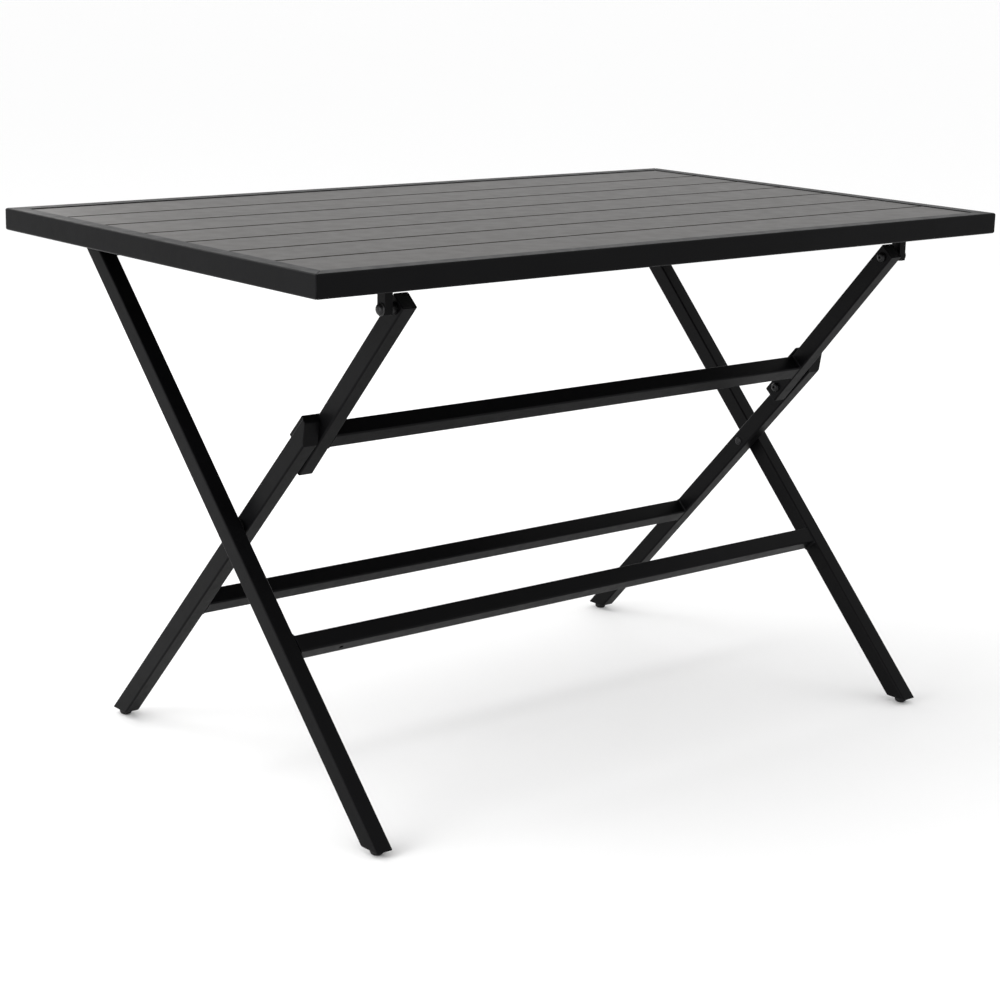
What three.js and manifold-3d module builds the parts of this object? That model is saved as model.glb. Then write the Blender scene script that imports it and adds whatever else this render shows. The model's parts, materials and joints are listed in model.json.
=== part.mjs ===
// Folding slatted table: a framed top on two crossed pairs of legs, with a pair of hinged stays that
// lock the inner legs when the table is open. Millimetres, +Z up, X along the length, the front at -Y,
// the origin on the floor under the middle of the top. Standing open on its four feet.
import * as THREE from "three";
import { mergeVertices } from "three/addons/utils/BufferGeometryUtils.js";
import Module from "manifold-3d";

const wasm = await Module();
wasm.setup();

// Top.
const topLength = 1226;
const topWidth = 724;
const topHeight = 740;
const frameDepth = 30;
const frameWidth = 25;
const slatCount = 7;
const slatGap = 5;
const slatDrop = 1.2;
const slatHeight = 12;
const slatEdgeRadius = 1.5;
const bearerWidth = 30;

// Linkage, in the side view (Y, Z).
const pivotHeight = 680;
const pivotSpan = 605;
const crossingY = -10.5;
const crossingZ = 351.5;
const innerLegLean = THREE.MathUtils.degToRad(42.8);
const kneeReach = 144;

// Tubes.
const tubeDepth = 26;
const outerLegWidth = 25;
const innerLegWidth = 23;
const stayWidth = 23;
const barSize = 25;
const wall = 1.5;
const tubeRadius = 2.5;
const capThickness = 3;

// Where each piece stands across the length, at its middle.
const outerLegX = 499.1;
const innerLegX = 469.7;
const stayX = 444.5;
const bearerX = 468;
const frontLugX = 469;
const backLugX = 475;

// Along the tubes, from the pivot named.
const outerBarFromCrossing = 186.5;
const innerBarFromCrossing = 188.8;
const liftBarFromKnee = 47;
const stayPastFrontPivot = 12.5;
const stayPastKnee = 18.3;
const outerLegPastBackPivot = 16;
const legEndHeight = 8;

// The cut top end of an inner leg, past the knee, and the stop tab on its back.
const crownAlong = 75;
const crownFrontAlong = 48;
const crownFrontY = 5;
const crownInset = wall + 0.8;
const tabOuterLow = 33;
const tabInnerLow = 48;
const tabHigh = 73;
const tabBack = 18.8;
const tabOverLeg = 19.8;

// Hanger lugs.
const lugWidth = 12;
const lugDepth = 16;
const lugPastPivot = 6.5;

// Fasteners and feet.
const boltRadius = 4;
const headRadius = 7;
const nutRadius = 8.2;
const headHeight = 5;
const pinHeadRadius = 6;
const pinHeadHeight = 1.3;
const washerRadius = 8;
const shankInTube = 20;
const insertInTube = 10;
const threadLength = 2.5;
const footRadius = 9;
const footFlatRadius = 4;
const footNeckRadius = 7.5;
const footPlugLength = 18;

const gap = 0.3;
const holeRadius = boltRadius + gap;
const roundSegments = 24;
const cornerSegments = 3;

const coat = new THREE.MeshStandardMaterial({ color: 0x1c1c1d, roughness: 0.55, metalness: 0.1 });
const bolts = new THREE.MeshStandardMaterial({ color: 0x141415, roughness: 0.4, metalness: 0.6 });
const plastic = new THREE.MeshStandardMaterial({ color: 0x101011, roughness: 0.7, metalness: 0 });

const table = new THREE.Group();

const backPivot = new THREE.Vector2(pivotSpan / 2, pivotHeight);
const frontPivot = new THREE.Vector2(-pivotSpan / 2, pivotHeight);
const crossing = new THREE.Vector2(crossingY, crossingZ);
const knee = new THREE.Vector2(
  crossingY - kneeReach * Math.sin(innerLegLean),
  crossingZ + kneeReach * Math.cos(innerLegLean),
);
const outerLegLean = leanBetween(crossing, backPivot);
const stayLean = leanBetween(knee, frontPivot);

// The turn about X that brings the Z axis onto the line from one point up to another.
function leanBetween(low, high) {
  return Math.atan2(low.x - high.x, high.y - low.y);
}

// A group at a point of the side view, whose Z axis leans along a tube.
function frameAt(x, point, lean = 0) {
  const group = new THREE.Group();
  group.position.set(x, point.x, point.y);
  group.rotation.x = lean;
  table.add(group);
  return group;
}

function addMesh(name, geometry, material, parent = table) {
  const mesh = new THREE.Mesh(geometry, material);
  mesh.name = name;
  parent.add(mesh);
}

function toSolid(geometry) {
  const bare = geometry.clone();
  bare.deleteAttribute("normal");
  bare.deleteAttribute("uv");
  const merged = mergeVertices(bare, 1e-4);
  const mesh = new wasm.Mesh({
    numProp: 3,
    vertProperties: merged.attributes.position.array,
    triVerts: new Uint32Array(merged.index.array),
  });
  return new wasm.Manifold(mesh);
}

function toGeometry(solid) {
  const mesh = solid.getMesh();
  const geometry = new THREE.BufferGeometry();
  geometry.setAttribute("position", new THREE.BufferAttribute(mesh.vertProperties, 3));
  geometry.setIndex(new THREE.BufferAttribute(mesh.triVerts, 1));
  return geometry;
}

function cut(geometry, ...tools) {
  let solid = toSolid(geometry);
  for (const tool of tools) {
    solid = solid.subtract(toSolid(tool));
  }
  return toGeometry(solid);
}

function join(geometry, other) {
  return toGeometry(toSolid(geometry).add(toSolid(other)));
}

function roundedOutline(path, width, depth, radius) {
  const x = width / 2 - radius;
  const y = depth / 2 - radius;
  path.moveTo(width / 2, -y);
  path.absarc(x, y, radius, 0, Math.PI / 2);
  path.absarc(-x, y, radius, Math.PI / 2, Math.PI);
  path.absarc(-x, -y, radius, Math.PI, 1.5 * Math.PI);
  path.absarc(x, -y, radius, 1.5 * Math.PI, 2 * Math.PI);
  return path;
}

// A tube's wall, and what just fits inside its bore.
function tubeSection(width, depth) {
  const section = roundedOutline(new THREE.Shape(), width, depth, tubeRadius);
  section.holes.push(roundedOutline(new THREE.Path(), width - 2 * wall, depth - 2 * wall, tubeRadius - wall / 2));
  return section;
}

function boreSection(width, depth) {
  const inset = 2 * (wall + gap);
  return roundedOutline(new THREE.Shape(), width - inset, depth - inset, tubeRadius - wall / 2);
}

// A section run along Z between two ends. Each end is a height over the section, so a cut can slope.
function run(section, low, high) {
  const options = { depth: 1, bevelEnabled: false, curveSegments: cornerSegments };
  const geometry = new THREE.ExtrudeGeometry(section, options);
  const place = geometry.attributes.position;
  for (let i = 0; i < place.count; i++) {
    const end = place.getZ(i) > 0.5 ? high : low;
    place.setZ(i, end(place.getX(i), place.getY(i)));
  }
  return geometry;
}

function straight(section, low, high) {
  return run(section, () => low, () => high);
}

// A side profile in (Y, Z) run across X.
function acrossX(profile, from, to) {
  return straight(profile, from, to).rotateX(Math.PI / 2).rotateZ(Math.PI / 2);
}

function rod(radius, from, to) {
  const geometry = new THREE.CylinderGeometry(radius, radius, to - from, roundSegments);
  return geometry.rotateZ(Math.PI / 2).translate((from + to) / 2, 0, 0);
}

function holeAt(along, from, to) {
  return rod(holeRadius, from, to).translate(0, 0, along);
}

function ring(from, to) {
  return cut(rod(washerRadius, from, to), rod(holeRadius, from - 1, to + 1));
}

// A round body on the X axis. Its profile runs up the axis as [radius, x].
function turned(profile) {
  const points = profile.map(([radius, x]) => new THREE.Vector2(radius, x));
  return new THREE.LatheGeometry(points, roundSegments).rotateZ(-Math.PI / 2);
}

// A bolt's head or a nut, flat on the face at x and domed towards +X.
function dome(x, radius = headRadius) {
  return turned([
    [0, x],
    [radius, x],
    [radius, x + 0.5 * headHeight],
    [0.75 * radius, x + 0.9 * headHeight],
    [0, x + headHeight],
  ]);
}

// Round pieces and holes are drawn for the left end, where inward is +X, and turned about for the right.
function forEnd(side, geometry) {
  return side < 0 ? geometry : geometry.rotateZ(Math.PI);
}

// A rail of the top's frame, cut at 45 degrees where it meets the next one.
function makeRail(name, length, distance, turn) {
  const reach = (x) => (length - frameWidth - gap) / 2 - x;
  const rail = run(tubeSection(frameWidth, frameDepth), (x) => -reach(x), reach);
  rail.rotateX(-Math.PI / 2);
  rail.translate(frameWidth / 2 - distance, 0, topHeight - frameDepth / 2);
  rail.rotateZ(turn);
  addMesh(name, rail, coat);
}

const slatPitch = (topWidth - 2 * frameWidth) / slatCount;
const slatTop = topHeight - slatDrop;
const slatFoot = slatTop - slatHeight;

// The space from the line between two slats, or between a slat and a rail, to the slat's side.
function sideGap(line) {
  return line === 0 || line === slatCount ? gap : slatGap / 2;
}

// A slat: an inverted channel that lies on the bearers.
function makeSlat(i) {
  const start = -topWidth / 2 + frameWidth;
  const front = start + i * slatPitch + sideGap(i);
  const back = start + (i + 1) * slatPitch - sideGap(i + 1);
  const profile = new THREE.Shape();
  profile.moveTo(front, slatFoot);
  profile.lineTo(front + wall, slatFoot);
  profile.lineTo(front + wall, slatTop - wall);
  profile.lineTo(back - wall, slatTop - wall);
  profile.lineTo(back - wall, slatFoot);
  profile.lineTo(back, slatFoot);
  profile.absarc(back - slatEdgeRadius, slatTop - slatEdgeRadius, slatEdgeRadius, 0, Math.PI / 2);
  profile.absarc(front + slatEdgeRadius, slatTop - slatEdgeRadius, slatEdgeRadius, Math.PI / 2, Math.PI);
  const reach = topLength / 2 - frameWidth - gap;
  addMesh(`top_slat_${i + 1}`, acrossX(profile, -reach, reach), coat);
}

const bearerTop = slatFoot - gap;
const bearerFoot = topHeight - frameDepth;

// A bearer: a cross tube under the slats, between the front and back rails.
function makeBearer(name, x) {
  const depth = bearerTop - bearerFoot;
  const reach = topWidth / 2 - frameWidth - gap;
  const bearer = straight(tubeSection(bearerWidth, depth), -reach, reach);
  bearer.rotateX(-Math.PI / 2).translate(x, 0, bearerFoot + depth / 2);
  addMesh(name, bearer, coat);
}

// A hanger lug: a short flat bar under a bearer, square at its lower end and drilled for its pivot.
function makeLug(name, x, pivot) {
  const height = bearerFoot - gap - pivot.y + lugPastPivot;
  const bar = new THREE.BoxGeometry(lugWidth, lugDepth, height);
  bar.translate(0, 0, height / 2 - lugPastPivot);
  addMesh(name, cut(bar, holeAt(0, -lugWidth, lugWidth)), coat, frameAt(x, pivot));
}

// Faces across the left end, from outside to inside.
const outerLegInside = -outerLegX + outerLegWidth / 2;
const innerLegOutside = -innerLegX - innerLegWidth / 2;
const innerLegInside = -innerLegX + innerLegWidth / 2;
const stayOutside = -stayX - stayWidth / 2;
const stayInside = -stayX + stayWidth / 2;

// The front pivot: a bolt through the stay, a washer and the lug, with a domed nut outside.
function makeFrontPivot(side, end) {
  const place = frameAt(0, frontPivot);
  const lugInside = -frontLugX + lugWidth / 2;
  const lugOutside = -frontLugX - lugWidth / 2;
  const threadEnd = lugOutside - threadLength;
  const bolt = join(dome(stayInside + gap), rod(boltRadius, threadEnd, stayInside + 2 * gap));
  const nutBody = dome(-lugOutside + gap, nutRadius).rotateZ(Math.PI);
  const nut = cut(nutBody, rod(holeRadius, threadEnd - gap, lugOutside));
  const washer = ring(lugInside + gap, stayOutside - gap);
  makeLug(`hanger_lug_front_${end}`, side * frontLugX, frontPivot);
  addMesh(`front_pivot_bolt_${end}`, forEnd(side, bolt), bolts, place);
  addMesh(`front_pivot_nut_${end}`, forEnd(side, nut), bolts, place);
  addMesh(`front_pivot_washer_${end}`, forEnd(side, washer), bolts, place);
}

// The back pivot: a bolt from inside the lug, through a washer and into the outer leg.
function makeBackPivot(side, end) {
  const place = frameAt(0, backPivot);
  const lugInside = -backLugX + lugWidth / 2;
  const lugOutside = -backLugX - lugWidth / 2;
  const shank = rod(boltRadius, outerLegInside - shankInTube, lugInside + 2 * gap);
  const bolt = join(dome(lugInside + gap), shank);
  const washer = ring(outerLegInside + gap, lugOutside - gap);
  makeLug(`hanger_lug_back_${end}`, side * backLugX, backPivot);
  addMesh(`back_pivot_bolt_${end}`, forEnd(side, bolt), bolts, place);
  addMesh(`back_pivot_washer_${end}`, forEnd(side, washer), bolts, place);
}

// A flat cap set just inside the open end of a tube. Up is +1 at the top end and -1 at the low end.
function makeEndCap(name, width, tubeEnd, up, frame) {
  const outer = tubeEnd - up * gap;
  const inner = outer - up * capThickness;
  const cap = straight(boreSection(width, tubeDepth), Math.min(outer, inner), Math.max(outer, inner));
  addMesh(name, cap, plastic, frame);
}

// How far along a leg, from the crossing, it reaches a level above the floor.
function levelCut(lean, level) {
  return (x, y) => (level - crossingZ - y * Math.sin(lean)) / Math.cos(lean);
}

// A foot: a plug in the leg's level end with a domed glide under it.
function makeFoot(name, width, lean, frame) {
  const bottom = levelCut(lean, legEndHeight);
  const onAxis = bottom(0, 0);
  const plug = run(boreSection(width, tubeDepth), bottom, () => onAxis + footPlugLength);
  const profile = [
    [0, -legEndHeight],
    [footFlatRadius, -legEndHeight],
    [0.8 * footRadius, -0.8 * legEndHeight],
    [footRadius, -0.45 * legEndHeight],
    [footRadius, -gap],
    [footNeckRadius, -gap],
    [footNeckRadius, 1],
    [0, 1],
  ];
  const points = profile.map(([radius, height]) => new THREE.Vector2(radius, height));
  const glide = new THREE.LatheGeometry(points, roundSegments).rotateX(Math.PI / 2 - lean);
  addMesh(name, join(plug, glide.translate(0, 0, onAxis)), plastic, frame);
}

function makeOuterLeg(side, end) {
  const frame = frameAt(side * outerLegX, crossing, outerLegLean);
  const reach = crossing.distanceTo(backPivot);
  const top = reach + outerLegPastBackPivot;
  const tube = run(tubeSection(outerLegWidth, tubeDepth), levelCut(outerLegLean, legEndHeight), () => top);
  const holes = [0, reach].map((along) => forEnd(side, holeAt(along, 0, outerLegWidth)));
  addMesh(`outer_leg_${end}`, cut(tube, ...holes), coat, frame);
  makeEndCap(`outer_leg_cap_${end}`, outerLegWidth, top, 1, frame);
  makeFoot(`foot_front_${end}`, outerLegWidth, outerLegLean, frame);
}

// The crossing pin: fixed in the outer leg, with a flat head inside the inner leg and a spacer between.
function makeCrossingPin(side, end) {
  const place = frameAt(0, crossing);
  const headFace = innerLegInside + gap;
  const head = rod(pinHeadRadius, headFace, headFace + pinHeadHeight);
  const pin = join(head, rod(boltRadius, outerLegInside - shankInTube, headFace + gap));
  const spacer = ring(outerLegInside + gap, innerLegOutside - gap);
  addMesh(`crossing_pin_${end}`, forEnd(side, pin), bolts, place);
  addMesh(`crossing_spacer_${end}`, forEnd(side, spacer), plastic, place);
}

// The top end of an inner leg in the side view: square at the back, then cut down to its front face.
function crownLine(drop, inset) {
  const half = tubeDepth / 2 - inset;
  const slope = (crownAlong - crownFrontAlong) / (crownFrontY + tubeDepth / 2);
  const top = kneeReach + crownAlong - drop;
  return [
    new THREE.Vector2(half, top),
    new THREE.Vector2(crownFrontY, top),
    new THREE.Vector2(-half, top - slope * (crownFrontY + half)),
  ];
}

function makeInnerLeg(side, end) {
  const frame = frameAt(side * innerLegX, crossing, innerLegLean);
  const top = kneeReach + crownAlong;
  const tube = run(tubeSection(innerLegWidth, tubeDepth), levelCut(innerLegLean, legEndHeight), () => top);
  const [, ridge, front] = crownLine(0, -1);
  const above = [new THREE.Vector2(front.x, top + 1), new THREE.Vector2(ridge.x, top + 1)];
  const offcut = acrossX(new THREE.Shape([ridge, front, ...above]), -innerLegWidth, innerLegWidth);
  const crossingHole = holeAt(0, -innerLegWidth, innerLegWidth);
  const kneeHole = forEnd(side, holeAt(kneeReach, 0, innerLegWidth));
  addMesh(`inner_leg_${end}`, cut(tube, offcut, crossingHole, kneeHole), coat, frame);
  makeCrown(`inner_leg_cap_${end}`, frame);
  makeStopTab(`stop_tab_${end}`, side, frame);
  makeKneeInsert(`knee_insert_${end}`, side, frame);
  makeFoot(`foot_back_${end}`, innerLegWidth, innerLegLean, frame);
}

// The bent plate that closes an inner leg's top end.
function makeCrown(name, frame) {
  const outer = crownLine(gap, crownInset);
  const inner = crownLine(gap + capThickness, crownInset);
  const half = innerLegWidth / 2 - crownInset;
  addMesh(name, acrossX(new THREE.Shape([...outer, ...inner.reverse()]), -half, half), plastic, frame);
}

// The stop tab: a plate on the back of an inner leg that reaches inward behind the stay.
function makeStopTab(name, side, frame) {
  const inward = -side;
  const legInside = innerLegWidth / 2;
  const outer = legInside - tabOverLeg;
  const inner = innerLegX - stayX + stayWidth / 2;
  const outline = new THREE.Shape();
  outline.moveTo(inward * outer, tabOuterLow);
  outline.lineTo(inward * inner, tabInnerLow);
  outline.lineTo(inward * inner, tabHigh);
  outline.lineTo(inward * outer, tabHigh);
  const plate = straight(outline, -tabBack, -tubeDepth / 2 - gap).rotateX(Math.PI / 2);
  const stayBack = tubeDepth / 2 + tabHigh * Math.tan(innerLegLean - stayLean) + gap;
  const recess = new THREE.BoxGeometry(inner, 2 * stayBack, 2 * tabHigh);
  recess.translate(inward * (legInside + inner / 2), 0, tabHigh);
  addMesh(name, cut(plate, recess).translate(0, 0, kneeReach), coat, frame);
}

// The knee insert: a threaded plug in the inner leg, whose flange keeps the stay off it.
function makeKneeInsert(name, side, frame) {
  const face = innerLegWidth / 2;
  const flangeEnd = stayOutside + innerLegX - gap;
  const insert = turned([
    [0, face - insertInTube],
    [boltRadius, face - insertInTube],
    [boltRadius, face + gap],
    [washerRadius, face + gap],
    [washerRadius, flangeEnd],
    [0, flangeEnd],
  ]);
  addMesh(name, forEnd(side, insert).translate(0, 0, kneeReach), bolts, frame);
}

function makeStay(side, end) {
  const frame = frameAt(side * stayX, knee, stayLean);
  const reach = knee.distanceTo(frontPivot);
  const top = reach + stayPastFrontPivot;
  const tube = straight(tubeSection(stayWidth, tubeDepth), -stayPastKnee, top);
  const holes = [0, reach].map((along) => holeAt(along, -stayWidth, stayWidth));
  addMesh(`stay_${end}`, cut(tube, ...holes), coat, frame);
  makeEndCap(`stay_cap_upper_${end}`, stayWidth, top, 1, frame);
  makeEndCap(`stay_cap_lower_${end}`, stayWidth, -stayPastKnee, -1, frame);
}

// The knee bolt: its head is inside the stay and its tip ends level with the stay's outer face.
function makeKneeBolt(side, end) {
  const bolt = join(dome(stayInside + gap), rod(boltRadius, stayOutside, stayInside + 2 * gap));
  addMesh(`knee_bolt_${end}`, forEnd(side, bolt), bolts, frameAt(0, knee));
}

// A bar between the two tubes of a pair, square to them.
function makeBar(name, pivot, lean, along, face) {
  const reach = Math.abs(face) - gap;
  const bar = acrossX(tubeSection(barSize, barSize), -reach, reach);
  addMesh(name, bar.translate(0, 0, along), coat, frameAt(0, pivot, lean));
}

makeRail("top_rail_left", topWidth, topLength / 2, 0);
makeRail("top_rail_front", topLength, topWidth / 2, Math.PI / 2);
makeRail("top_rail_right", topWidth, topLength / 2, Math.PI);
makeRail("top_rail_back", topLength, topWidth / 2, -Math.PI / 2);
for (let i = 0; i < slatCount; i++) {
  makeSlat(i);
}
makeBearer("top_bearer_left", -bearerX);
makeBearer("top_bearer_middle", 0);
makeBearer("top_bearer_right", bearerX);

for (const [side, end] of [[-1, "left"], [1, "right"]]) {
  makeFrontPivot(side, end);
  makeBackPivot(side, end);
  makeOuterLeg(side, end);
  makeCrossingPin(side, end);
  makeInnerLeg(side, end);
  makeStay(side, end);
  makeKneeBolt(side, end);
}
makeBar("outer_crossbar", crossing, outerLegLean, -outerBarFromCrossing, outerLegInside);
makeBar("inner_crossbar", crossing, innerLegLean, -innerBarFromCrossing, innerLegInside);
makeBar("lift_bar", knee, stayLean, liftBarFromKnee, stayInside);

export default table;
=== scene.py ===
import json
import math

import bmesh
import bpy
from mathutils import Matrix, Vector

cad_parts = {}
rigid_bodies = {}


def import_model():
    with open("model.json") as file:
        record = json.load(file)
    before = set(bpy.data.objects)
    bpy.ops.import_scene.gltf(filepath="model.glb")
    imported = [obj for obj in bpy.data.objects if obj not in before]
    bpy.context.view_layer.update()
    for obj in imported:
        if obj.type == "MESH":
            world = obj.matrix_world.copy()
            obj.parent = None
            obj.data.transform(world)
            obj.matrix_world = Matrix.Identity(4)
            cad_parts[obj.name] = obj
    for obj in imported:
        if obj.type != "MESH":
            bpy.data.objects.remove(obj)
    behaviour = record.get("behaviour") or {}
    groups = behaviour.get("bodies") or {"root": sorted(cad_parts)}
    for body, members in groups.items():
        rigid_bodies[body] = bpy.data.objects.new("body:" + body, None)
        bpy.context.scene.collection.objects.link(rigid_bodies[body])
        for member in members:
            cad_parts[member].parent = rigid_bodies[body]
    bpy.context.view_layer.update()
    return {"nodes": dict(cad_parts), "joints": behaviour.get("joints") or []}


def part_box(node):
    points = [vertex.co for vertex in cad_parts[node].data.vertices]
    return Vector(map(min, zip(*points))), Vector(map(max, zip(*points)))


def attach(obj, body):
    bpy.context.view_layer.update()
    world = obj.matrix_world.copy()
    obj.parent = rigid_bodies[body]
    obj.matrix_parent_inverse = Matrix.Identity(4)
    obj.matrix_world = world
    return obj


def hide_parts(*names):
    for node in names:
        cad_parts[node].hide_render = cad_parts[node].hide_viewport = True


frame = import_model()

# Metres, +Z up, X along the length, the front at -Y. Every leg piece is modelled upright on its own
# pivot, with Z along the tube, and then leaned into place.
joints = {joint["name"]: Vector(joint["pos_m"]) for joint in frame["joints"]}
backPivot = joints["outer_leg_fold"]
crossing = joints["inner_leg_fold"]
frontPivot = joints["stay_fold"]
left, right = -1, 1
ends = {left: "left", right: "right"}

tiny = 1e-5
mergeGap = 1e-6
smoothAngle = math.radians(35)

linkage = {
    "innerLean": math.radians(42.8),
    "kneeReach": 0.144,
    "legEndHeight": 0.008,
}

tubing = {
    "depth": 0.026,
    "outerWidth": 0.025,
    "innerWidth": 0.023,
    "bar": 0.025,
    "wall": 0.0015,
    "corner": 0.0026,
    "cornerSteps": 6,
    "rim": 0.0005,
    "rimSteps": 2,
    "gap": 0.0003,
}


def leanBetween(low, high):
    return math.atan2(low.y - high.y, high.z - low.z)


def pointOn(pivot, angle, along):
    return pivot + Vector((0, -math.sin(angle), math.cos(angle))) * along


def middleX(node):
    low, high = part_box(node)
    return (low.x + high.x) / 2


innerLean = linkage["innerLean"]
knee = pointOn(crossing, innerLean, linkage["kneeReach"])
outerLean = leanBetween(crossing, backPivot)
stayLean = leanBetween(knee, frontPivot)


# rest leaves edit mode with nothing selected, wake makes one piece active, edit opens it
def rest():
    if bpy.context.mode != "OBJECT":
        bpy.ops.object.mode_set(mode="OBJECT")
    bpy.ops.object.select_all(action="DESELECT")


def wake(piece):
    rest()
    piece.select_set(True)
    bpy.context.view_layer.objects.active = piece


def edit(piece):
    wake(piece)
    bpy.ops.object.mode_set(mode="EDIT")
    bpy.ops.mesh.select_all(action="DESELECT")


def settle(name):
    piece = bpy.context.object
    piece.name = name
    piece.data.name = name
    bpy.ops.object.transform_apply(location=True, rotation=True, scale=True)
    return piece


def newBox(name, low, high):
    rest()
    low, high = Vector(low), Vector(high)
    bpy.ops.mesh.primitive_cube_add(size=1, location=(low + high) / 2, scale=high - low)
    return settle(name)


def pick(piece, kind, test):
    bpy.ops.mesh.select_mode(type=kind)
    bpy.ops.mesh.select_all(action="DESELECT")
    mesh = bmesh.from_edit_mesh(piece.data)
    parts = mesh.faces if kind == "FACE" else mesh.edges
    found = [part for part in parts if test(part)]
    for part in found:
        part.select_set(True)
    bmesh.update_edit_mesh(piece.data)
    return len(found)


def runsAlong(axis):
    def test(edge):
        way = edge.verts[1].co - edge.verts[0].co
        return way.length > tiny and abs(way.normalized()[axis]) > 0.999
    return test


def facing(way, share=0.99):
    way = Vector(way).normalized()
    return lambda face: face.normal.dot(way) > share


def bevelPicked(width, steps):
    bpy.ops.mesh.bevel(offset=width, segments=steps, affect="EDGES", profile=0.5, clamp_overlap=True)


def roundLong(piece, axis, width, steps):
    if pick(piece, "EDGE", runsAlong(axis)):
        bevelPicked(width, steps)


def softenSharp(piece, width, steps=2, angle=50, test=lambda edge: True):
    limit = math.radians(angle)

    def sharp(edge):
        return len(edge.link_faces) == 2 and edge.calc_face_angle(0) > limit and test(edge)
    if pick(piece, "EDGE", sharp):
        bevelPicked(width, steps)


def applyModifier(piece, kind, **values):
    wake(piece)
    modifier = piece.modifiers.new(kind.lower(), kind)
    for key, value in values.items():
        setattr(modifier, key, value)
    bpy.ops.object.modifier_apply(modifier=modifier.name)


def hollow(piece, wall):
    applyModifier(piece, "SOLIDIFY", thickness=wall, offset=-1, use_even_offset=True)


# cuts an open-ended tube along a plane and closes its wall again
def trimTube(piece, point, normal):
    edit(piece)
    bpy.ops.mesh.select_all(action="SELECT")
    bpy.ops.mesh.bisect(plane_co=point, plane_no=normal, clear_outer=True, threshold=mergeGap)
    bpy.ops.mesh.select_mode(type="EDGE")
    bpy.ops.mesh.bridge_edge_loops()


def trimSolid(piece, point, normal):
    edit(piece)
    bpy.ops.mesh.select_all(action="SELECT")
    bpy.ops.mesh.bisect(plane_co=point, plane_no=normal, clear_outer=True, use_fill=True,
                        threshold=mergeGap)


def lean(piece, pivot, angle, x=0.0):
    wake(piece)
    piece.location = (x, pivot.y, pivot.z)
    piece.rotation_euler = (angle, 0, 0)
    bpy.ops.object.transform_apply(location=True, rotation=True, scale=True)


def copyPiece(piece, name, move):
    twin = piece.copy()
    twin.data = piece.data.copy()
    twin.name = name
    twin.data.name = name
    twin.data.transform(move)
    bpy.context.scene.collection.objects.link(twin)
    return twin


# turned about the middle of the table, so a left fitting becomes the right one
def otherEnd(pivot):
    there = Matrix.Translation((0, pivot.y, 0))
    return there @ Matrix.Rotation(math.pi, 4, "Z") @ there.inverted()


def finish(piece, body, slot, material, *nodes):
    edit(piece)
    bpy.ops.mesh.select_all(action="SELECT")
    bpy.ops.mesh.remove_doubles(threshold=mergeGap)
    wake(piece)
    bpy.ops.object.shade_smooth_by_angle(angle=smoothAngle)
    applyModifier(piece, "WEIGHTED_NORMAL", keep_sharp=True)
    piece.data.materials.clear()
    piece.data.materials.append(material)
    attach(piece, body)
    if nodes:
        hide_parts(*nodes)
    rest()
    return piece


coatSettings = {
    "frameCoat": {
        "tint": (0.0022, 0.0022, 0.0025), "worn": (0.020, 0.020, 0.022), "wear": 0.5,
        "roughness": (0.37, 0.45), "metallic": 0.0, "specular": 0.055,
        "grain": 1500, "peel": 330, "height": 0.16, "tone": 7,
    },
    "slatCoat": {
        "tint": (0.0075, 0.0060, 0.0047), "worn": (0.026, 0.022, 0.019), "wear": 0.4,
        "roughness": (0.40, 0.445), "metallic": 0.0, "specular": 0.32,
        "sheen": (1.0, 0.93, 0.86), "grain": 1500, "peel": 300, "height": 0.10, "tone": 5,
    },
    "fastenerSteel": {
        "tint": (0.008, 0.008, 0.0085), "worn": (0.10, 0.10, 0.10), "wear": 0.6,
        "roughness": (0.24, 0.40), "metallic": 0.5, "specular": 0.3,
        "grain": 2200, "peel": 700, "height": 0.08, "tone": 60,
    },
    "blackPlastic": {
        "tint": (0.0035, 0.0035, 0.0037), "worn": (0.012, 0.012, 0.012), "wear": 0.3,
        "roughness": (0.50, 0.66), "metallic": 0.0, "specular": 0.25,
        "grain": 900, "peel": 500, "height": 0.22, "tone": 30,
    },
}


coatBuild = {
    "wearRadius": 0.0012,
    "wearSamples": 4,
    "flat": 0.998,
    "sharp": 0.93,
    "dark": 0.82,
    "pale": 1.2,
    "dustScale": 9,
    "grainShare": 0.35,
    "bumpDistance": 0.0004,
}


def addNode(tree, kind, **sockets):
    node = tree.nodes.new("ShaderNode" + kind)
    for key, value in sockets.items():
        node.inputs[key.replace("_", " ")].default_value = value
    return node


def addNoise(tree, coordinates, scale, detail):
    noise = addNode(tree, "TexNoise", Scale=scale, Detail=detail)
    tree.links.new(coordinates, noise.inputs["Vector"])
    return noise.outputs[0]


def addRange(tree, value, start, end, low, high):
    spread = addNode(tree, "MapRange", From_Min=start, From_Max=end, To_Min=low, To_Max=high)
    tree.links.new(value, spread.inputs["Value"])
    return spread.outputs["Result"]


def addMath(tree, operation, first, second):
    node = addNode(tree, "Math")
    node.operation = operation
    for socket, value in zip(node.inputs, (first, second)):
        if isinstance(value, (int, float)):
            socket.default_value = value
        else:
            tree.links.new(value, socket)
    return node.outputs[0]


def addMix(tree, share, first, second):
    mix = tree.nodes.new("ShaderNodeMix")
    mix.data_type = "RGBA"
    tree.links.new(share, mix.inputs[0])
    for socket, colour in ((mix.inputs[6], first), (mix.inputs[7], second)):
        if isinstance(colour, tuple):
            socket.default_value = (*colour, 1)
        else:
            tree.links.new(colour, socket)
    return mix.outputs[2]


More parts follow.
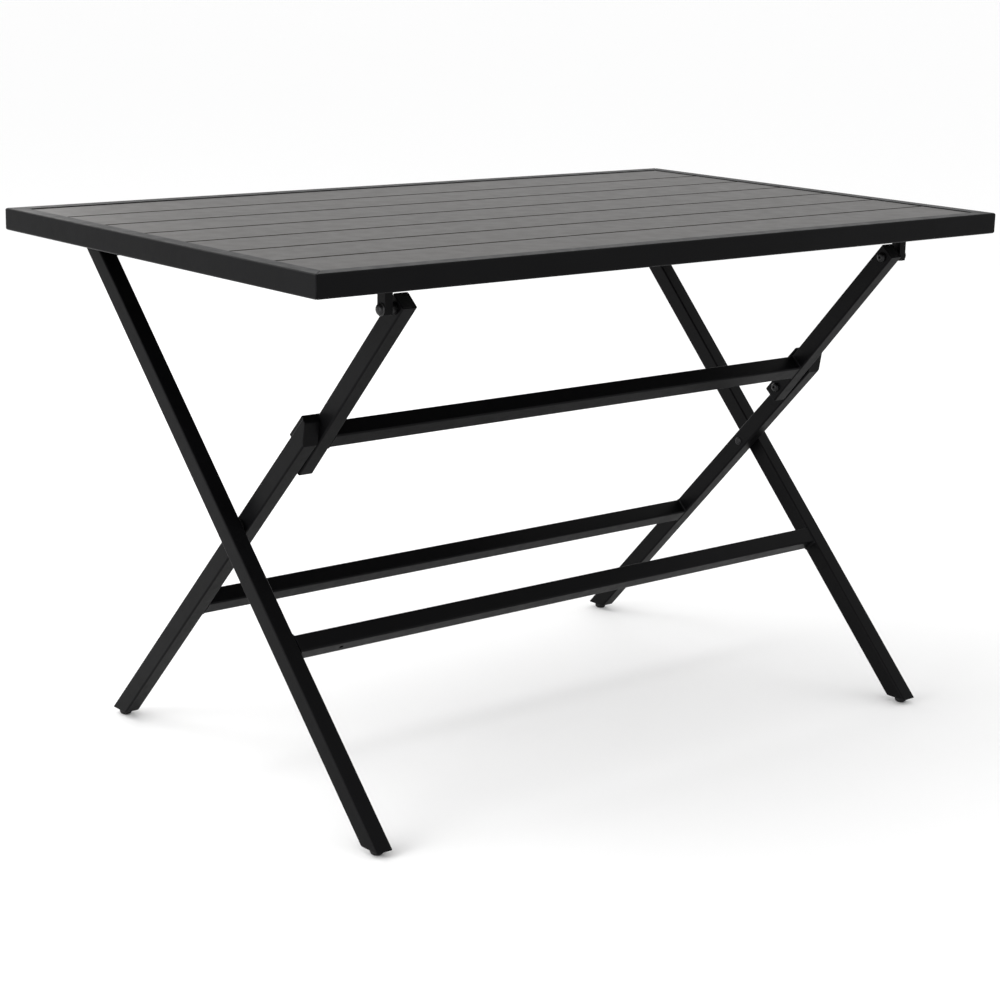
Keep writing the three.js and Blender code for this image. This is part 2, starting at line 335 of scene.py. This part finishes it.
# 1 on outer edges, where a coat is thin and rubbed, and 0 on the flats
def addEdges(tree, patches):
    rounded = tree.nodes.new("ShaderNodeBevel")
    rounded.samples = coatBuild["wearSamples"]
    rounded.inputs["Radius"].default_value = coatBuild["wearRadius"]
    geometry = tree.nodes.new("ShaderNodeNewGeometry")
    dot = tree.nodes.new("ShaderNodeVectorMath")
    dot.operation = "DOT_PRODUCT"
    tree.links.new(rounded.outputs[0], dot.inputs[0])
    tree.links.new(geometry.outputs["True Normal"], dot.inputs[1])
    edge = addRange(tree, dot.outputs["Value"], coatBuild["flat"], coatBuild["sharp"], 0, 1)
    return addMath(tree, "MULTIPLY", edge, addRange(tree, patches, 0.4, 0.65, 0.25, 1))


def coat(name):
    settings = coatSettings[name]
    material = bpy.data.materials.new(name)
    material.use_nodes = True
    tree = material.node_tree
    shader = tree.nodes["Principled BSDF"]
    place = tree.nodes.new("ShaderNodeTexCoord").outputs["Object"]
    grain = addNoise(tree, place, settings["grain"], 2)
    peel = addNoise(tree, place, settings["peel"], 2)
    tone = addNoise(tree, place, settings["tone"], 4)
    dust = addNoise(tree, place, settings["tone"] * coatBuild["dustScale"], 3)
    edge = addMath(tree, "MULTIPLY", addEdges(tree, dust), settings["wear"])
    dark = tuple(channel * coatBuild["dark"] for channel in settings["tint"])
    pale = tuple(channel * coatBuild["pale"] for channel in settings["tint"])
    colour = addMix(tree, addRange(tree, tone, 0.35, 0.65, 0, 1), dark, pale)
    tree.links.new(addMix(tree, edge, colour, settings["worn"]), shader.inputs["Base Color"])
    low, high = settings["roughness"]
    grainy = addRange(tree, grain, 0, 1, 0.85, 1.15)
    rough = addRange(tree, addMath(tree, "MULTIPLY", dust, grainy), 0.3, 0.7, low, high)
    tree.links.new(rough, shader.inputs["Roughness"])
    shader.inputs["Metallic"].default_value = settings["metallic"]
    shader.inputs["Specular IOR Level"].default_value = settings["specular"]
    shader.inputs["Specular Tint"].default_value = (*settings.get("sheen", (1, 1, 1)), 1)
    height = addMath(tree, "ADD", addMath(tree, "MULTIPLY", grain, coatBuild["grainShare"]), peel)
    bump = addNode(tree, "Bump", Strength=settings["height"], Distance=coatBuild["bumpDistance"])
    tree.links.new(height, bump.inputs["Height"])
    tree.links.new(bump.outputs["Normal"], shader.inputs["Normal"])
    return material


frameCoat = coat("frameCoat")
slatCoat = coat("slatCoat")
fastenerSteel = coat("fastenerSteel")
blackPlastic = coat("blackPlastic")
print("finishes made")


railSettings = {"corner": 0.0026, "cornerSteps": 6, "seam": 0.0010, "seamSteps": 3, "seamAngle": 25}
slatSettings = {"edge": 0.0005, "edgeSteps": 3, "wall": 0.0015}


# a rail's long edges are rounded, its mitred ends are closed and their edges just broken
def makeRail(name, node, axis):
    low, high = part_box(node)
    across = 1 - axis
    side = math.copysign(1, low[across] + high[across])
    rail = newBox(name, low, high)
    edit(rail)
    roundLong(rail, axis, railSettings["corner"], railSettings["cornerSteps"])
    for end in (left, right):
        corner, normal = Vector((0, 0, 0)), Vector((0, 0, 0))
        corner[axis] = (high if end == right else low)[axis]
        corner[across] = (high if side > 0 else low)[across]
        normal[axis] = end
        normal[across] = -side
        trimSolid(rail, corner, normal)
    softenSharp(rail, railSettings["seam"], railSettings["seamSteps"], angle=railSettings["seamAngle"],
                test=lambda edge: not runsAlong(axis)(edge))
    finish(rail, "tabletop", "frame_coat", frameCoat, node)


def makeRails():
    makeRail("frontRail", "top_rail_front", 0)
    makeRail("backRail", "top_rail_back", 0)
    makeRail("leftRail", "top_rail_left", 1)
    makeRail("rightRail", "top_rail_right", 1)


# an inverted channel, open below and at its ends
def makeSlat(name, node):
    low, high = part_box(node)
    slat = newBox(name, low, high)
    edit(slat)
    pick(slat, "EDGE", lambda edge: runsAlong(0)(edge) and edge.verts[0].co.z > high.z - tiny)
    bevelPicked(slatSettings["edge"], slatSettings["edgeSteps"])
    pick(slat, "FACE", lambda face: face.normal.z < -0.9 or abs(face.normal.x) > 0.9)
    bpy.ops.mesh.delete(type="FACE")
    hollow(slat, slatSettings["wall"])
    return slat


def finishSlat(slat, node):
    finish(slat, "tabletop", "slat_coat", slatCoat, node)


def makeSlats():
    first, pattern, last = 1, 2, 7
    for number in (first, last):
        node = f"top_slat_{number}"
        finishSlat(makeSlat(f"slat{number}", node), node)
    slat = makeSlat(f"slat{pattern}", f"top_slat_{pattern}")
    for number in range(pattern + 1, last):
        node = f"top_slat_{number}"
        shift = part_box(node)[0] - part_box(f"top_slat_{pattern}")[0]
        finishSlat(copyPiece(slat, f"slat{number}", Matrix.Translation(shift)), node)
    finishSlat(slat, f"top_slat_{pattern}")


def makeBearers():
    nodes = {"Left": "top_bearer_left", "Middle": "top_bearer_middle", "Right": "top_bearer_right"}
    bearer = newBox("bearerLeft", *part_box(nodes["Left"]))
    edit(bearer)
    roundLong(bearer, 1, tubing["corner"], tubing["cornerSteps"])
    pick(bearer, "FACE", lambda face: abs(face.normal.y) > 0.9)
    bpy.ops.mesh.delete(type="FACE")
    hollow(bearer, tubing["wall"])
    for end in ("Middle", "Right"):
        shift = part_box(nodes[end])[0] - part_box(nodes["Left"])[0]
        twin = copyPiece(bearer, "bearer" + end, Matrix.Translation(shift))
        finish(twin, "tabletop", "frame_coat", frameCoat, nodes[end])
    finish(bearer, "tabletop", "frame_coat", frameCoat, nodes["Left"])


makeRails()
makeSlats()
makeBearers()
print("top made")


lugSettings = {"edge": 0.0007, "edgeSteps": 3, "weld": 0.0022, "weldSteps": 4}


# a flat bar whose top spreads into the weld under its bearer
def makeLug(name, node):
    low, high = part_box(node)
    weld = lugSettings["weld"]
    lug = newBox(name, low, (high.x, high.y, high.z - weld))
    edit(lug)
    softenSharp(lug, lugSettings["edge"], lugSettings["edgeSteps"],
                test=lambda edge: min(v.co.z for v in edge.verts) < high.z - weld - tiny)
    flare(lug, 2, 1, (low + high) / 2, weld, lugSettings["weldSteps"], (weld, weld))
    return lug


# the end face towards one side of an axis is drawn on in steps that follow a hollow quarter circle
def flare(piece, axis, way, centre, reach, steps, spread):
    normal = [0, 0, 0]
    normal[axis] = way
    pick(piece, "FACE", facing(normal))
    mesh = bmesh.from_edit_mesh(piece.data)
    face = next(f for f in mesh.faces if f.select)
    others = [i for i in range(3) if i != axis]
    half = [max(abs(v.co[i] - centre[i]) for v in face.verts) for i in others]
    at = 0.0
    out = [0.0, 0.0]
    for step in range(1, steps + 1):
        turn = math.pi / 2 * step / steps
        nextAt = reach * math.sin(turn)
        nextOut = [s * (1 - math.cos(turn)) for s in spread]
        move = [0, 0, 0]
        move[axis] = way * (nextAt - at)
        bpy.ops.mesh.extrude_region_move(TRANSFORM_OT_translate={"value": move})
        grow = [1, 1, 1]
        for i, other in enumerate(others):
            grow[other] = (half[i] + nextOut[i]) / (half[i] + out[i])
        bpy.ops.transform.resize(value=grow, center_override=centre)
        at, out = nextAt, nextOut


# Known fault: each right lug is copied while the left one is still in edit mode, so it stays a
# plain box that stops short of its bearer, without rounded edges or a weld.
def makeLugs():
    for row in ("front", "back"):
        node = f"hanger_lug_{row}_left"
        lug = makeLug(f"{row}LugLeft", node)
        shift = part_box(f"hanger_lug_{row}_right")[0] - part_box(node)[0]
        twin = copyPiece(lug, f"{row}LugRight", Matrix.Translation(shift))
        finish(lug, "tabletop", "frame_coat", frameCoat, node)
        finish(twin, "tabletop", "frame_coat", frameCoat, f"hanger_lug_{row}_right")


makeLugs()
print("lugs made")


legSettings = {"pastBackPivot": 0.016, "toe": 0.0014, "spare": 0.05}
crownSettings = {
    "along": 0.075,
    "frontAlong": 0.048,
    "frontY": 0.005,
    "fold": 0.002,
    "foldSteps": 4,
    "plate": 0.0015,
    "edge": 0.0004,
    "edgeSteps": 2,
}
staySettings = {"pastFrontPivot": 0.0125, "pastKnee": 0.0183, "rim": 0.0006}

outerTop = (backPivot - crossing).length + legSettings["pastBackPivot"]
stayTop = (frontPivot - knee).length + staySettings["pastFrontPivot"]
stayLow = -staySettings["pastKnee"]


# an upright tube, open at both ends and longer than it will be
def rawTube(name, width, low, high):
    depth = tubing["depth"]
    tube = newBox(name, (-width / 2, -depth / 2, low), (width / 2, depth / 2, high))
    edit(tube)
    roundLong(tube, 2, tubing["corner"], tubing["cornerSteps"])
    return tube


def openEnds(tube, ways=(-1, 1)):
    for way in ways:
        pick(tube, "FACE", facing((0, 0, way)))
        bpy.ops.mesh.delete(type="FACE")


# where a level plane cuts a leaning tube, as a point and a normal in the upright tube's own frame
def levelPlane(angle, level):
    return (0, 0, (level - crossing.z) / math.cos(angle)), (0, -math.sin(angle), -math.cos(angle))


# bevels the outer edge of a tube's end, and leaves the inner one sharp
def breakRim(tube, point, normal, width):
    edit(tube)
    point, normal = Vector(point), Vector(normal).normalized()

    def onRim(edge):
        if any(abs((v.co - point).dot(normal)) > tiny for v in edge.verts):
            return False
        walls = [f for f in edge.link_faces if abs(f.normal.dot(normal)) < 0.9]
        return bool(walls) and walls[0].normal.dot(fromAxis(walls[0])) > 0
    if pick(tube, "EDGE", onRim):
        bevelPicked(width, tubing["rimSteps"])


def fromAxis(face):
    middle = face.calc_center_median()
    return middle - Vector((0, 0, middle.z))


def pairUp(tube, name, nodes, body, x, slot="frame_coat", material=frameCoat):
    twin = copyPiece(tube, name + "Right", Matrix.Translation((2 * abs(x), 0, 0)))
    for piece, end in ((tube, "left"), (twin, "right")):
        finish(piece, body, slot, material, *[node + "_" + end for node in nodes])


def makeOuterLegs():
    x = middleX("outer_leg_left")
    plane = levelPlane(outerLean, linkage["legEndHeight"])
    low = plane[0][2] - legSettings["spare"]
    tube = rawTube("outerLegLeft", tubing["outerWidth"], low, outerTop)
    openEnds(tube)
    hollow(tube, tubing["wall"])
    trimTube(tube, *plane)
    breakRim(tube, *plane, legSettings["toe"])
    breakRim(tube, (0, 0, outerTop), (0, 0, 1), tubing["rim"])
    lean(tube, crossing, outerLean, x)
    pairUp(tube, "outerLeg", ["outer_leg"], "outer_frame", x)


# the upper end is closed by a plate folded over the slanted front and the square back
def makeInnerLegs():
    x = middleX("inner_leg_left")
    top = linkage["kneeReach"] + crownSettings["along"]
    plane = levelPlane(innerLean, linkage["legEndHeight"])
    tube = rawTube("innerLegLeft", tubing["innerWidth"], plane[0][2] - legSettings["spare"], top)
    ridge = Vector((0, crownSettings["frontY"], top))
    drop = crownSettings["along"] - crownSettings["frontAlong"]
    run = crownSettings["frontY"] + tubing["depth"] / 2
    slope = Vector((0, -drop, run)).normalized()
    trimSolid(tube, ridge, slope)
    edit(tube)
    pick(tube, "EDGE", lambda edge: all((v.co - ridge).yz.length < tiny for v in edge.verts))
    bevelPicked(crownSettings["fold"], crownSettings["foldSteps"])
    pick(tube, "FACE", lambda face: face.normal.z > 0.2)
    bpy.ops.mesh.separate(type="SELECTED")
    rest()
    plate = next(o for o in bpy.context.scene.objects if o.name.startswith("innerLegLeft."))
    plate.name = "crownPlateLeft"
    plate.data.name = "crownPlateLeft"
    edit(tube)
    openEnds(tube, (-1,))
    hollow(tube, tubing["wall"])
    trimTube(tube, *plane)
    breakRim(tube, *plane, legSettings["toe"])
    hollow(plate, crownSettings["plate"])
    edit(plate)
    softenSharp(plate, crownSettings["edge"], crownSettings["edgeSteps"])
    lean(tube, crossing, innerLean, x)
    lean(plate, crossing, innerLean, x)
    pairUp(tube, "innerLeg", ["inner_leg"], "inner_frame", x)
    pairUp(plate, "crownPlate", ["inner_leg_cap"], "inner_frame", x)


def makeStays():
    x = middleX("stay_left")
    tube = rawTube("stayLeft", tubing["innerWidth"], stayLow, stayTop)
    openEnds(tube)
    hollow(tube, tubing["wall"])
    breakRim(tube, (0, 0, stayTop), (0, 0, 1), staySettings["rim"])
    breakRim(tube, (0, 0, stayLow), (0, 0, -1), staySettings["rim"])
    lean(tube, knee, stayLean, x)
    pairUp(tube, "stay", ["stay"], "stay_frame", x)


makeOuterLegs()
makeInnerLegs()
makeStays()
print("legs and stays made")


capSettings = {"thickness": 0.003, "edge": 0.0006, "edgeSteps": 3, "inset": 0.0003}
footSettings = {
    "steps": 48,
    "plug": 0.018,
    "spare": 0.03,
    "profile": (
        (0.0030, -0.0080), (0.0046, -0.0079), (0.0062, -0.0074), (0.0075, -0.0064), (0.0084, -0.0050),
        (0.0088, -0.0036), (0.0088, -0.0016), (0.0085, -0.0009), (0.0079, -0.0005), (0.0073, -0.0003),
        (0.0073, 0.0010), (0.0030, 0.0010),
    ),
}


def plugBox(name, width, low, high):
    inset = tubing["wall"] + capSettings["inset"]
    half = Vector((width / 2 - inset, tubing["depth"] / 2 - inset, 0))
    plug = newBox(name, (-half.x, -half.y, low), (half.x, half.y, high))
    edit(plug)
    roundLong(plug, 2, tubing["corner"] - tubing["wall"] / 2, tubing["cornerSteps"])
    return plug


def makeCaps():
    thickness, inset = capSettings["thickness"], capSettings["inset"]
    for name, node, width, end, way, pivot, angle, body in (
        ("outerLegCap", "outer_leg_cap", tubing["outerWidth"], outerTop, 1,
         crossing, outerLean, "outer_frame"),
        ("stayCapUpper", "stay_cap_upper", tubing["innerWidth"], stayTop, 1,
         knee, stayLean, "stay_frame"),
        ("stayCapLower", "stay_cap_lower", tubing["innerWidth"], stayLow, -1,
         knee, stayLean, "stay_frame"),
    ):
        outer = end - way * inset
        inner = outer - way * thickness
        cap = plugBox(name + "Left", width, min(outer, inner), max(outer, inner))
        edit(cap)
        softenSharp(cap, capSettings["edge"], capSettings["edgeSteps"],
                    test=lambda edge: all(abs(v.co.z - outer) < tiny for v in edge.verts))
        x = middleX(node + "_left")
        lean(cap, pivot, angle, x)
        pairUp(cap, name, [node], body, x, "black_plastic", blackPlastic)


# a circle is drawn on along its own axis, a step for each point of the profile
def turned(name, profile, steps, axis="X"):
    rest()
    index = "XYZ".index(axis)
    place = [0, 0, 0]
    place[index] = profile[0][1]
    tilt = (0, math.pi / 2, 0) if axis == "X" else (0, 0, 0)
    bpy.ops.mesh.primitive_circle_add(
        vertices=steps, radius=profile[0][0], fill_type="NGON", location=place, rotation=tilt)
    piece = settle(name)
    edit(piece)
    bpy.ops.mesh.select_all(action="SELECT")
    for (radius, along), (nextRadius, nextAlong) in zip(profile, profile[1:]):
        move = [0, 0, 0]
        move[index] = nextAlong - along
        bpy.ops.mesh.extrude_region_move(TRANSFORM_OT_translate={"value": move})
        grow = [nextRadius / radius] * 3
        grow[index] = 1
        centre = [0, 0, 0]
        centre[index] = nextAlong
        bpy.ops.transform.resize(value=grow, center_override=centre)
    bpy.ops.mesh.select_all(action="SELECT")
    bpy.ops.mesh.normals_make_consistent(inside=False)
    return piece


def makeFoot(name, node, width, angle, body):
    point, normal = levelPlane(angle, linkage["legEndHeight"])
    plug = plugBox(name + "Plug", width, point[2] - footSettings["spare"],
                   point[2] + footSettings["plug"])
    trimSolid(plug, point, normal)
    x = middleX(node + "_left")
    lean(plug, crossing, angle, x)
    glide = turned(name + "Left", footSettings["profile"], footSettings["steps"], "Z")
    sole = pointOn(crossing, angle, point[2])
    wake(glide)
    glide.location = (x, sole.y, linkage["legEndHeight"])
    plug.select_set(True)
    bpy.ops.object.join()
    bpy.ops.object.transform_apply(location=True, rotation=True, scale=True)
    pairUp(glide, name, [node], body, x, "black_plastic", blackPlastic)


makeCaps()
makeFoot("frontFoot", "foot_front", tubing["outerWidth"], outerLean, "outer_frame")
makeFoot("backFoot", "foot_back", tubing["innerWidth"], innerLean, "inner_frame")
print("caps and feet made")


barSettings = {
    "outerAlong": -0.1865,
    "innerAlong": -0.1888,
    "liftAlong": 0.047,
    "weld": 0.0026,
    "weldSteps": 4,
    "overDepth": 0.0003,
    "drain": 0.0032,
    "drainFromEnd": 0.07,
    "drillLength": 0.012,
}


def makeBar(name, node, pivot, angle, along, body):
    low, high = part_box(node)
    size, weld = tubing["bar"], barSettings["weld"]
    reach = high.x
    bar = newBox(name, (-reach + weld, -size / 2, along - size / 2),
                 (reach - weld, size / 2, along + size / 2))
    edit(bar)
    roundLong(bar, 0, tubing["corner"], tubing["cornerSteps"])
    for way in (left, right):
        flare(bar, 0, way, Vector((0, 0, along)), weld, barSettings["weldSteps"],
              (barSettings["overDepth"], weld))
    rest()
    if name == "outerCrossbar":
        drain(bar, -reach + barSettings["drainFromEnd"], along - size / 2)
    lean(bar, pivot, angle)
    finish(bar, body, "frame_coat", frameCoat, node)


def drain(bar, x, z):
    rest()
    bpy.ops.mesh.primitive_cylinder_add(
        vertices=32, radius=barSettings["drain"], depth=barSettings["drillLength"], location=(x, 0, z))
    drill = settle("drill")
    applyModifier(bar, "BOOLEAN", object=drill, operation="DIFFERENCE", solver="EXACT")
    bpy.data.objects.remove(drill)


makeBar("outerCrossbar", "outer_crossbar", crossing, outerLean, barSettings["outerAlong"], "outer_frame")
makeBar("innerCrossbar", "inner_crossbar", crossing, innerLean, barSettings["innerAlong"], "inner_frame")
makeBar("liftBar", "lift_bar", knee, stayLean, barSettings["liftAlong"], "stay_frame")
print("bars made")


tabSettings = {"edge": 0.0008, "edgeSteps": 3}


# the tab keeps its worked shape, with its edges rounded over
def makeStopTab(end):
    node = "stop_tab_" + end
    tab = copyPiece(frame["nodes"][node], "stopTab" + end.title(), Matrix.Identity(4))
    for key in [key for key in tab.keys() if key.startswith("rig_")]:
        del tab[key]
    edit(tab)
    bpy.ops.mesh.select_all(action="SELECT")
    bpy.ops.mesh.remove_doubles(threshold=mergeGap)
    bpy.ops.mesh.dissolve_limited(angle_limit=math.radians(1))
    softenSharp(tab, tabSettings["edge"], tabSettings["edgeSteps"], 40)
    finish(tab, "inner_frame", "frame_coat", frameCoat, node)


for side in (left, right):
    makeStopTab(ends[side])
print("stop tabs made")


fastenerSettings = {
    "steps": 48,
    "shank": 0.004,
    "lead": 0.0008,
    "boltTip": 0.6,
    "headRadius": 0.007,
    "headHeight": 0.005,
    "headUnder": 0.96,
    "headFlat": 0.0032,
    "headSkirt": 0.0012,
    "socket": 0.0027,
    "socketDepth": 0.0024,
    "nutRadius": 0.0082,
    "nutHeight": 0.0048,
    "nutFlange": ((0.97, 0), (1, 0.0003), (1, 0.0010), (0.9, 0.0014)),
    "nutDome": 0.88,
    "nutFlat": 0.0012,
    "nutSkirt": 0.0018,
    "pinRadius": 0.006,
    "pinHeight": 0.0013,
    "pinTip": 0.7,
    "pinUnder": 0.97,
    "pinFlat": 0.0030,
    "pinSkirt": 0.0003,
    "washerEdge": 0.0004,
    "domeSteps": 7,
}


# the quarter round of a head, from its rim at x to its flat top
def domeProfile(radius, height, x, flat, skirt, way=1):
    points = []
    steps = fastenerSettings["domeSteps"]
    for step in range(steps + 1):
        turn = math.pi / 2 * step / steps
        out = flat + (radius - flat) * math.cos(turn)
        up = skirt + (height - skirt) * math.sin(turn)
        points.append((out, x + way * up))
    return points


def socketCut(bolt, x):
    rest()
    depth = fastenerSettings["socketDepth"] * 2
    bpy.ops.mesh.primitive_cylinder_add(
        vertices=6, radius=fastenerSettings["socket"], depth=depth,
        location=(x, 0, 0), rotation=(0, math.pi / 2, 0))
    key = settle("hexKey")
    applyModifier(bolt, "BOOLEAN", object=key, operation="DIFFERENCE", solver="EXACT")
    bpy.data.objects.remove(key)


def finishPair(piece, name, node, pivot, body, slot="fastener_steel", material=fastenerSteel):
    lean(piece, pivot, 0)
    twin = copyPiece(piece, name + "Right", otherEnd(pivot))
    for fitting, end in ((piece, "left"), (twin, "right")):
        finish(fitting, body, slot, material, node + "_" + end)


# the shank runs from its tip to headFace, and the domed head stands on headFace
def makeBolt(name, node, pivot, body, tip, headFace):
    radius, height = fastenerSettings["headRadius"], fastenerSettings["headHeight"]
    shank = fastenerSettings["shank"]
    profile = [(fastenerSettings["boltTip"] * shank, tip), (shank, tip + fastenerSettings["lead"]),
               (shank, headFace), (fastenerSettings["headUnder"] * radius, headFace)]
    profile += domeProfile(radius, height, headFace, fastenerSettings["headFlat"],
                           fastenerSettings["headSkirt"])
    bolt = turned(name + "Left", profile, fastenerSettings["steps"])
    socketCut(bolt, headFace + height)
    finishPair(bolt, name, node, pivot, body)


def makeNut(name, node, pivot, body, face):
    radius, height = fastenerSettings["nutRadius"], fastenerSettings["nutHeight"]
    profile = [(share * radius, face - drop) for share, drop in fastenerSettings["nutFlange"]]
    profile += domeProfile(fastenerSettings["nutDome"] * radius, height, face,
                           fastenerSettings["nutFlat"], fastenerSettings["nutSkirt"], -1)
    finishPair(turned(name + "Left", profile, fastenerSettings["steps"]), name, node, pivot, body)


# a ring with its four edges broken
def makeWasher(name, node, pivot, body, slot="fastener_steel", material=fastenerSteel):
    low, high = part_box(node + "_left")
    bore = fastenerSettings["shank"] + tubing["gap"]
    outer = (high.z - low.z) / 2
    edge = fastenerSettings["washerEdge"]
    profile = [(bore, low.x), (outer - edge, low.x), (outer, low.x + edge),
               (outer, high.x - edge), (outer - edge, high.x), (bore, high.x)]
    washer = turned(name + "Left", profile, fastenerSettings["steps"])
    pick(washer, "FACE", lambda face: len(face.verts) > 4)
    bpy.ops.mesh.delete(type="FACE")
    pick(washer, "EDGE", lambda edge: edge.is_boundary)
    bpy.ops.mesh.bridge_edge_loops()
    bpy.ops.mesh.select_all(action="SELECT")
    bpy.ops.mesh.normals_make_consistent(inside=False)
    finishPair(washer, name, node, pivot, body, slot, material)


def makePin():
    low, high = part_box("crossing_pin_left")
    shank = fastenerSettings["shank"]
    radius, height = fastenerSettings["pinRadius"], fastenerSettings["pinHeight"]
    face = high.x - height
    profile = [(fastenerSettings["pinTip"] * shank, low.x), (shank, low.x + fastenerSettings["lead"]),
               (shank, face), (fastenerSettings["pinUnder"] * radius, face)]
    profile += domeProfile(radius, height, face, fastenerSettings["pinFlat"], fastenerSettings["pinSkirt"])
    pin = turned("crossingPinLeft", profile, fastenerSettings["steps"])
    finishPair(pin, "crossingPin", "crossing_pin", crossing, "outer_frame")


def makeFastenings():
    headHeight = fastenerSettings["headHeight"]
    for name, node, pivot, body in (
        ("frontPivotBolt", "front_pivot_bolt", frontPivot, "tabletop"),
        ("backPivotBolt", "back_pivot_bolt", backPivot, "tabletop"),
        ("kneeBolt", "knee_bolt", knee, "stay_frame"),
    ):
        low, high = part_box(node + "_left")
        makeBolt(name, node, pivot, body, low.x, high.x - headHeight)
    makeNut("frontPivotNut", "front_pivot_nut", frontPivot, "tabletop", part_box("front_pivot_nut_left")[1].x)
    makeWasher("frontPivotWasher", "front_pivot_washer", frontPivot, "tabletop")
    makeWasher("backPivotWasher", "back_pivot_washer", backPivot, "tabletop")
    makeWasher("crossingSpacer", "crossing_spacer", crossing, "outer_frame", "black_plastic", blackPlastic)
    makePin()


makeFastenings()
for side in (left, right):
    insert = frame["nodes"]["knee_insert_" + ends[side]]
    insert.data.materials.clear()
    insert.data.materials.append(fastenerSteel)
print("fastenings made")


studioSettings = {
    "place": (-2.1405, -2.4904, 1.1211),
    "turn": (76.108, -1.501, -40.774),
    "lens": 83.32,
    "sensor": 36,
    "shift": (-0.0306, 0.006),
    "floor": 300,
    "floorTint": (0.93, 0.93, 0.93),
    "floorRoughness": 0.7,
    "sky": 1.05,
    "lights": (
        {"name": "topSoft", "place": (-1.8, 2.2, 3.0), "aim": (0, 0, 0.7), "size": 2.6, "power": 40},
        {"name": "backSoft", "place": (0.4, 4.4, 1.8), "aim": (-0.4, 0, 0.7), "size": 2.2, "power": 34,
         "tint": (1.0, 0.98, 0.96)},
        {"name": "leftSoft", "place": (-4.2, 0.6, 1.5), "aim": (0, 0, 0.5), "size": 3.0, "power": 115},
    ),
}


def addCamera():
    data = bpy.data.cameras.new("tableCamera")
    data.lens = studioSettings["lens"]
    data.sensor_width = studioSettings["sensor"]
    data.shift_x, data.shift_y = studioSettings["shift"]
    camera = bpy.data.objects.new("tableCamera", data)
    camera.location = studioSettings["place"]
    camera.rotation_euler = [math.radians(angle) for angle in studioSettings["turn"]]
    bpy.context.scene.collection.objects.link(camera)
    bpy.context.scene.camera = camera


def addLights():
    for settings in studioSettings["lights"]:
        data = bpy.data.lights.new(settings["name"], "AREA")
        data.size = settings["size"]
        data.energy = settings["power"]
        data.color = settings.get("tint", (1, 1, 1))
        light = bpy.data.objects.new(settings["name"], data)
        light.location = settings["place"]
        way = Vector(settings["aim"]) - light.location
        light.rotation_euler = way.to_track_quat("-Z", "Y").to_euler()
        bpy.context.scene.collection.objects.link(light)


def addFloor():
    rest()
    bpy.ops.mesh.primitive_plane_add(size=studioSettings["floor"])
    floor = settle("floor")
    paint = bpy.data.materials.new("floorPaint")
    paint.use_nodes = True
    shader = paint.node_tree.nodes["Principled BSDF"]
    shader.inputs["Base Color"].default_value = (*studioSettings["floorTint"], 1)
    shader.inputs["Roughness"].default_value = studioSettings["floorRoughness"]
    floor.data.materials.append(paint)


def addSky():
    world = bpy.data.worlds.new("studio")
    bpy.context.scene.world = world
    world.use_nodes = True
    background = world.node_tree.nodes["Background"]
    background.inputs["Color"].default_value = (1, 1, 1, 1)
    background.inputs["Strength"].default_value = studioSettings["sky"]
    bpy.context.scene.view_settings.view_transform = "Standard"


addCamera()
addLights()
addFloor()
addSky()
print("setting made")
